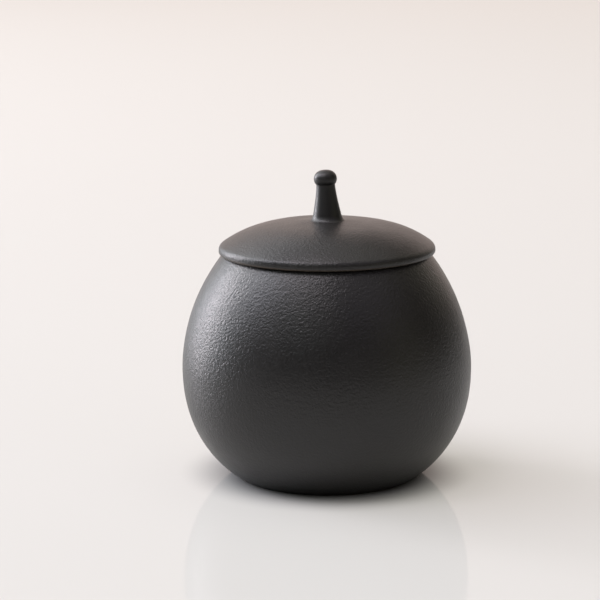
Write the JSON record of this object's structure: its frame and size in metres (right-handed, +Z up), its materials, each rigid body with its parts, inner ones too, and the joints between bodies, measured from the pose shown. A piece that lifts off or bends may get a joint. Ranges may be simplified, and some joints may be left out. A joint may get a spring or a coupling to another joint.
{
  "type": "sugar bowl",
  "caption": "Round-bellied stoneware sugar bowl with a loose domed lid and a slender ball-headed knob, glazed matt black.",
  "frame": {"origin": "on the turning axis, on the plane that the foot ring stands on", "axes": "+Z up along the turning axis, which is the way the lid lifts; the knob leans a little towards -X"},
  "size_m": [0.1, 0.1, 0.1065],
  "materials": {
    "bowl_glaze": "matt black glaze with a leathery orange-peel surface",
    "lid_glaze": "matt black glaze, breaking brown along the lower edge",
    "knob_glaze": "smooth black satin glaze"
  },
  "bodies": {
    "bowl": {"bowl": "bowl_glaze"},
    "lid": {"lid": "lid_glaze", "lid_knob": "knob_glaze"}
  },
  "joints": [
    {"name": "lid_lift", "type": "slide", "parent": "bowl", "child": "lid", "axis": [0, 0, 1], "range_m": [0, 0.08]}
  ]
}
